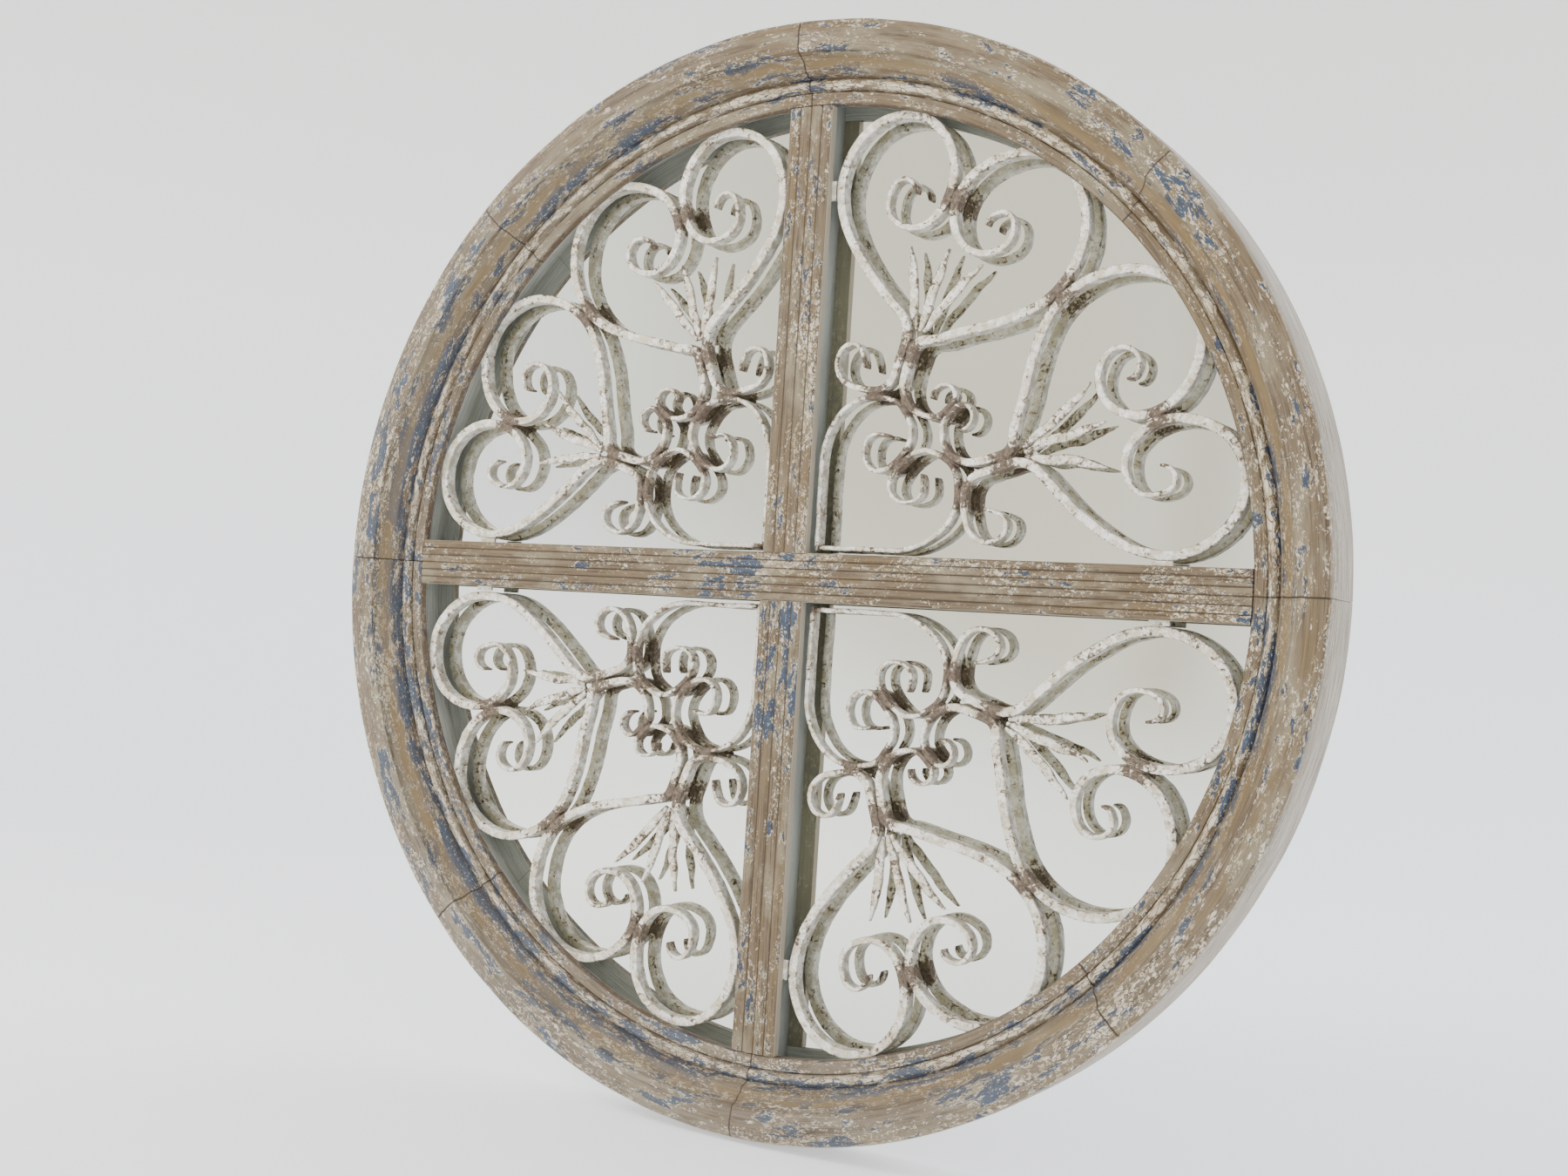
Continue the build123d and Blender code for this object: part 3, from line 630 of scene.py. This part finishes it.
def leaf_width(share):
    """A leaf's width in millimetres: soon full, then a long taper to a blunt point."""
    rise = min(1.0, 0.45 + share * 2.2)
    fall = min(1.0, 1.9 * (1 - share) ** 0.75 + 0.16)
    return 7.8 * rise * fall


def swapped(stations):
    """The same strip mirrored about the pane's diagonal."""
    return [(up, across, 90 - heading, thick) for across, up, heading, thick in stations]


def way(heading):
    return Vector((math.cos(math.radians(heading)), math.sin(math.radians(heading))))


def arc_points(start, direction, end, step):
    """Points along the arc that leaves start in this direction, without the end itself."""
    chord = end - start
    bend = math.atan2(direction.x * chord.y - direction.y * chord.x, direction.dot(chord))
    run = chord.length if abs(bend) < 1e-5 else chord.length * bend / math.sin(bend)
    count = max(2, round(run / step))
    points = []
    for index in range(count):
        share = index / count
        if abs(bend) < 1e-5:
            points.append(start + chord * share)
            continue
        reach = chord.length * math.sin(bend * share) / math.sin(bend)
        points.append(start + Matrix.Rotation(-bend * (1 - share), 2) @ chord.normalized() * reach)
    return points


def centre_line(stations, step):
    """The strip's middle as points and thicknesses, through two arcs between stations."""
    points, thick = [], []
    for (x0, z0, h0, t0), (x1, z1, h1, t1) in zip(stations, stations[1:]):
        start, end, leave, reach_way = Vector((x0, z0)), Vector((x1, z1)), way(h0), way(h1)
        chord, ways = end - start, way(h0) + way(h1)
        spread = 2 * (1 - leave.dot(reach_way))
        if spread < 1e-9:
            reach = chord.length_squared / (4 * chord.dot(reach_way))
        else:
            along = chord.dot(ways)
            reach = (math.sqrt(along * along + spread * chord.length_squared) - along) / spread
        middle = (start + end + (leave - reach_way) * reach) / 2
        first = arc_points(start, leave, middle, step)
        second = arc_points(end, -reach_way, middle, step)[1:] + [middle]
        run = first + second[::-1]
        points += run
        thick += [t0 + (t1 - t0) * index / len(run) for index in range(len(run))]
    points.append(Vector(stations[-1][:2]))
    thick.append(stations[-1][3])
    return points, thick


def weld_places():
    """Each weld in the pane with its heading, once for a weld on the diagonal."""
    twice = [(HEART_WELD, HEART_AXIS), (CORNER_TOP_WELD, 0), (CORNER_SHOULDER_WELD, SHOULDER_AXIS),
             (LOBE_WELD, LOBE_AXIS)]
    places = [(*weld, heading) for weld, heading in twice]
    places += [(weld[1], weld[0], 90 - heading) for weld, heading in twice]
    places += [(*weld, 45) for weld in (HEARTS_WELD, CURL_WELD, CORNER_CURL_WELD)]
    return places


def section(count, half, half_depth, edge):
    """A bar's section as (across, deep) places: flat faces, rounded edges."""
    places = []
    edge = min(edge, half * 0.85)
    for index in range(count):
        corner, part = divmod(index, count // 4)
        turn = math.radians(90 * (corner + part / (count // 4 - 1)))
        side_x, side_y = ((1, 1), (-1, 1), (-1, -1), (1, -1))[corner]
        places.append((side_x * (half - edge) + edge * math.cos(turn),
                       side_y * (half_depth - edge) + edge * math.sin(turn)))
    return places


# Length of the sways in a strip or a leaf and how far they reach, in millimetres.
STRIP_SWAY = (38, 0.9)
LEAF_SWAY = (15, 1.9)


def wander(point, seed, sway):
    """How far the smith's hand strays from the drawing here, in millimetres."""
    size, reach = sway
    spot = Vector((point.x / size, point.y / size, seed * 5.3))
    return Vector((noise.noise(spot), noise.noise(spot + Vector((7, 0, 0))))) * reach


def forge(mesh, stations, front, back, step, edge, taper_ends, dents, seed, swell=None):
    """Extrudes a rounded bar section along the strip, its ends drawn down."""
    points, thick = centre_line(stations, step)
    sway = LEAF_SWAY if swell else STRIP_SWAY
    points = [point + wander(point, seed, sway) for point in points]
    ways = [(after - before).normalized() for before, after in
            zip([points[0]] + points[:-1], points[1:] + [points[-1]])]
    middle, half_depth = (front + back) / 2, (back - front) / 2 - dents
    wear = mesh.verts.layers.float.get("wear") or mesh.verts.layers.float.new("wear")
    rim = mesh.verts.layers.float.get("edge") or mesh.verts.layers.float.new("edge")
    number = mesh.verts.layers.int.get("number") or mesh.verts.layers.int.new("number")
    welds = [Vector(place[:2]) for place in weld_places()]
    count = 16
    ring = bmesh.ops.create_circle(mesh, cap_ends=False, radius=1, segments=count)["verts"]
    for index, vert in enumerate(ring):
        vert[number] = index
        vert[rim] = 1.0 if index % 4 in (1, 2) else 0.35
    edges = list({link for vert in ring for link in vert.link_edges})
    ends = [edges]
    last = len(points) - 1
    for index, (point, direction) in enumerate(zip(points, ways)):
        off_end = min(index, last - index)
        shrink = (0.62, 0.88, 0.98)[off_end] if off_end < 3 and taper_ends else 1.0
        width = swell(index / last) if swell else thick[index]
        half = max(0.3 * MM, width / 2 * MM - dents) * shrink
        left = Vector((-direction.y, 0, direction.x))
        centre = Vector((point.x * MM, middle, point.y * MM))
        if index:
            made = bmesh.ops.extrude_edge_only(mesh, edges=edges)["geom"]
            ring = [item for item in made if isinstance(item, bmesh.types.BMVert)]
            edges = [item for item in made if isinstance(item, bmesh.types.BMEdge)
                     and all(vert in ring for vert in item.verts)]
        places = section(count, half, half_depth * (0.8 + 0.2 * shrink), edge)
        close = min((point - weld).length for weld in welds)
        for vert in ring:
            off_centre, deep = places[vert[number]]
            vert.co = centre + left * off_centre + Vector((0, deep, 0))
            vert[wear] = max(0.0, 1 - close / 17, 0.6 - off_end / 6 if taper_ends else 0.11)
    ends.append(edges)
    for loop in ends:
        bmesh.ops.edgeloop_fill(mesh, edges=loop)
    return mesh


def dent(mesh, depth, seed):
    """Hammer marks: small shallow moves along each vertex's normal."""
    mesh.normal_update()
    offset = Vector((seed * 3.1, seed * 1.7, seed))
    for vert in mesh.verts:
        vert.co += vert.normal * noise.noise(vert.co * 130 + offset) * depth


PANES = {"upper_right": (1, 1), "upper_left": (-1, 1), "lower_right": (1, -1),
         "lower_left": (-1, -1)}


def into_pane(mesh, pane):
    """Mirrors a piece of the upper right pane into this one, in x, in z or in both."""
    x, z = PANES[pane]
    bmesh.ops.scale(mesh, vec=(x, 1, z), verts=mesh.verts)
    if x * z < 0:
        bmesh.ops.reverse_faces(mesh, faces=mesh.faces)


class BuildScrolls(bpy.types.Operator):
    """Forge the scrollwork, its leaves and its welds in all four panes"""
    bl_idname = "mirror.build_scrolls"
    bl_label = "Scrollwork"

    def execute(self, context):
        s = context.scene.mirror_scrolls
        material = iron_paint()
        strips = {
            "upright_heart_outer_scroll": heart_outer(),
            "upright_heart_inner_scroll": heart_inner(),
            "level_heart_outer_scroll": swapped(heart_outer()),
            "level_heart_inner_scroll": swapped(heart_inner()),
            "upright_corner_scroll": corner_scroll(3.0),
            "level_corner_scroll": swapped(corner_scroll(7.8)),
        }
        for seed, pane in enumerate(PANES):
            for name, stations in strips.items():
                mesh = forge(bmesh.new(), stations, SCROLL_FRONT, SCROLL_BACK, s.step / MM,
                             s.edge, True, s.hammering, seed)
                self.finish_piece(mesh, f"{pane}_{name}", pane, seed, s, material)
            for name, lines in (("upright_leaves", leaves()),
                                ("level_leaves", [swapped(line) for line in leaves()])):
                mesh = bmesh.new()
                for line in lines:
                    forge(mesh, line, LEAF_FRONT, LEAF_BACK, 2.0, 1.4 * MM, False, 0.1 * MM,
                          seed, leaf_width)
                self.finish_piece(mesh, f"{pane}_{name}", pane, seed, s, material)
            self.welds(pane, material)
        return {"FINISHED"}

    @staticmethod
    def finish_piece(mesh, node, pane, seed, s, material):
        dent(mesh, s.hammering, seed + 1)
        into_pane(mesh, pane)
        finished(f"{node}_forged", mesh, material, "frame", [node], 60.0)

    @staticmethod
    def welds(pane, material):
        """Lumps of weld metal that bridge the strips, flush with their front."""
        mesh = bmesh.new()
        wear = mesh.verts.layers.float.new("wear")
        middle, half = (SCROLL_FRONT + SCROLL_BACK) / 2, (SCROLL_BACK - SCROLL_FRONT) / 2
        for across, up, heading in weld_places():
            lump = bmesh.ops.create_icosphere(mesh, subdivisions=3, radius=1)["verts"]
            shape = Matrix.Diagonal((9.0 * MM, half * 0.95, 2.2 * MM, 1))
            turn = Matrix.Rotation(-math.radians(heading), 4, "Y")
            place = Matrix.Translation((across * MM, middle, up * MM))
            bmesh.ops.transform(mesh, matrix=place @ turn @ shape, verts=lump)
            for vert in lump:
                vert[wear] = 0.9
        dent(mesh, 0.5 * MM, 9)
        into_pane(mesh, pane)
        finished(f"{pane}_welds", mesh, material, "frame", [], 60.0)


class BuildMirror(bpy.types.Operator):
    """Cut the mirror plate and lay its silver"""
    bl_idname = "mirror.build_plate"
    bl_label = "Mirror plate"

    def execute(self, context):
        s = context.scene.mirror_glass
        mesh = bmesh.new()
        reflecting = GLASS_FRONT + s.silver_depth
        thickness = GLASS_BACK - reflecting
        turned = Matrix.Rotation(math.radians(90), 4, "X")
        place = Matrix.Translation((0, (reflecting + GLASS_BACK) / 2, 0)) @ turned
        bmesh.ops.create_cone(mesh, cap_ends=True, segments=180, radius1=GLASS_RADIUS,
                              radius2=GLASS_RADIUS, depth=thickness, matrix=place)
        rims = [edge for edge in mesh.edges if len(edge.link_faces) == 2
                and edge.calc_face_angle() > 1]
        bmesh.ops.bevel(mesh, geom=rims, offset=0.12 * MM, offset_type="OFFSET", segments=1,
                        profile=0.5, affect="EDGES", material=-1)
        finished("mirror_plate_silvered", mesh, silver(), "frame", ["mirror_plate"])
        return {"FINISHED"}


class DressParts(bpy.types.Operator):
    """Give the bars, the board, the fasteners and the hangers their finishes"""
    bl_idname = "mirror.dress_parts"
    bl_label = "Bars, board and fittings"

    def execute(self, context):
        finishes = {
            "horizontal_bar": bar_paint("weathered_painted_wood_level_bar", False),
            "vertical_bar": bar_paint("weathered_painted_wood_upright_bar", True),
            "ring_dowels": beech(),
            "backing_board": hardboard(),
            "fixing_tabs": bpy.data.materials["chipped_paint_on_forged_iron"],
        }
        zinc = plated_steel("dull_zinc_plate", "#a9a69c", 0.42)
        nickel = plated_steel("nickel_plate", "#c9c4b8", 0.24)
        for name in ("board_screws", "tab_screws", "hanger_screws"):
            finishes[name] = zinc
        for side in ("left", "right"):
            finishes[f"hanger_strap_{side}"] = nickel
            finishes[f"hanger_ring_{side}"] = nickel
        for name, material in finishes.items():
            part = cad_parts[name]
            part.data.materials.clear()
            part.data.materials.append(material)
        return {"FINISHED"}


# Stage, light and camera

ROOM_RADIUS, ROOM_CORNER, ROOM_TOP = 3.4, 1.2, 2.6
FLOOR_GAP = 4 * MM
CAMERA_PLACE = (0.75966, -1.30852, -0.05075)
CAMERA_FORWARD = (-0.5104, 0.8595, 0.0280)
CAMERA_UP = (-0.0400, -0.0563, 0.9976)
CAMERA_LENS = 41.73


def pale_room():
    """Matt paint: a cool light floor, and a warmer beige wall where the mirror looks."""
    material, tree = new_material("pale_studio_paint")
    across, depth, up = millimetres(tree)
    height = between(tree, up, -460.0, 1500.0)
    tone = blend(tree, height, colour("#eff2f6"), colour("#e4e4e0"))
    opposite = calc(tree, "MULTIPLY", between(tree, depth, -2400.0, -3000.0),
                    between(tree, across, 600.0, -1200.0))
    tone = blend(tree, opposite, tone, colour("#cbc6b8"))
    band = calc(tree, "MULTIPLY", near(tree, across, -700.0, 160.0),
                between(tree, depth, -2800.0, -3000.0))
    tone = blend(tree, calc(tree, "MULTIPLY", band, 0.35), tone, colour("#a39a86"))
    surface(tree, tone, 0.9, Emission_Color=tone, Emission_Strength=0.56)
    return material


class BuildStage(bpy.types.Operator):
    """Set up the pale room, the soft lights and the camera"""
    bl_idname = "mirror.build_stage"
    bl_label = "Stage"

    def execute(self, context):
        self.room()
        self.lights()
        self.camera(context)
        return {"FINISHED"}

    @staticmethod
    def room():
        """A round floor that curves up into a wall, spun from one profile."""
        floor = CAD_BOX[0][2] - FLOOR_GAP
        mesh = bmesh.new()
        flat = ROOM_RADIUS - ROOM_CORNER
        outline = [(0.0, floor), (flat, floor)]
        outline += [(flat + ROOM_CORNER * math.sin(math.radians(turn)),
                     floor + ROOM_CORNER * (1 - math.cos(math.radians(turn))))
                    for turn in range(10, 91, 10)]
        outline.append((ROOM_RADIUS, ROOM_TOP))
        verts = [mesh.verts.new((radius, 0, height)) for radius, height in outline]
        edges = [mesh.edges.new(pair) for pair in zip(verts, verts[1:])]
        bmesh.ops.spin(mesh, geom=verts + edges, cent=(0, 0, 0), axis=(0, 0, 1),
                       angle=2 * math.pi, steps=96, use_merge=True, use_duplicate=False)
        bmesh.ops.remove_doubles(mesh, verts=mesh.verts, dist=1e-5)
        bmesh.ops.recalc_face_normals(mesh, faces=mesh.faces)
        for face in mesh.faces:
            face.smooth = True
        data = bpy.data.meshes.new("pale_room")
        mesh.to_mesh(data)
        mesh.free()
        data.materials.append(pale_room())
        made = bpy.data.objects.new("pale_room", data)
        bpy.context.scene.collection.objects.link(made)

    @staticmethod
    def lights():
        """A large key from the upper left, a weak fill, and one light above and one behind."""
        for name, place, size, power, tint in (
                ("key_light", (-1.7, -1.7, 1.6), 1.2, 62, "#fff8ee"),
                ("fill_light", (2.3, -1.5, 0.9), 1.8, 9, "#eef3ff"),
                ("top_light", (0.2, 0.6, 2.5), 2.0, 26, "#ffffff"),
                ("back_light", (0.6, 2.1, 1.6), 1.8, 24, "#f4f6ff")):
            lamp = bpy.data.lights.new(name, "AREA")
            lamp.shape, lamp.size, lamp.energy = "DISK", size, power
            lamp.color = colour(tint)
            lamp.cycles.max_bounces = 4
            made = bpy.data.objects.new(name, lamp)
            made.location = place
            made.rotation_mode = "QUATERNION"
            made.rotation_quaternion = (-Vector(place)).to_track_quat("-Z", "Y")
            bpy.context.scene.collection.objects.link(made)
        world = bpy.data.worlds.new("soft_daylight")
        world.use_nodes = True
        world.node_tree.nodes["Background"].inputs["Color"].default_value = (0.86, 0.88, 0.91, 1)
        world.node_tree.nodes["Background"].inputs["Strength"].default_value = 0.78
        bpy.context.scene.world = world

    @staticmethod
    def camera(context):
        """The photograph's viewpoint: low on the right, with a slight tilt."""
        lens = bpy.data.cameras.new("camera")
        lens.lens, lens.sensor_width, lens.sensor_fit = CAMERA_LENS, 36, "HORIZONTAL"
        made = bpy.data.objects.new("camera", lens)
        back = -Vector(CAMERA_FORWARD).normalized()
        right = Vector(CAMERA_UP).cross(back).normalized()
        made.matrix_world = Matrix((right, back.cross(right), back)).transposed().to_4x4()
        made.location = CAMERA_PLACE
        context.scene.collection.objects.link(made)
        context.scene.camera = made


class MirrorPanel(bpy.types.Panel):
    """Lists the steps that build the mirror"""
    bl_idname = "VIEW3D_PT_round_window_mirror"
    bl_label = "Round Window Mirror"
    bl_space_type = "VIEW_3D"
    bl_region_type = "UI"
    bl_category = "Mirror"

    def draw(self, context):
        for operator in OPERATORS:
            self.layout.operator(operator.bl_idname)


SETTINGS = {"mirror_ring": RingSettings, "mirror_scrolls": ScrollSettings,
            "mirror_glass": MirrorSettings}
OPERATORS = (BuildRing, BuildScrolls, BuildMirror, DressParts, BuildStage)


def register():
    register_settings()
    for item in (*OPERATORS, MirrorPanel):
        bpy.utils.register_class(item)


def unregister():
    for item in (MirrorPanel, *reversed(OPERATORS)):
        bpy.utils.unregister_class(item)
    for name, group in reversed(SETTINGS.items()):
        delattr(bpy.types.Scene, name)
        bpy.utils.unregister_class(group)


def main():
    register()
    bpy.ops.mirror.build_ring()
    bpy.ops.mirror.build_scrolls()
    bpy.ops.mirror.build_plate()
    bpy.ops.mirror.dress_parts()
    bpy.ops.mirror.build_stage()


if __name__ == "__main__":
    main()
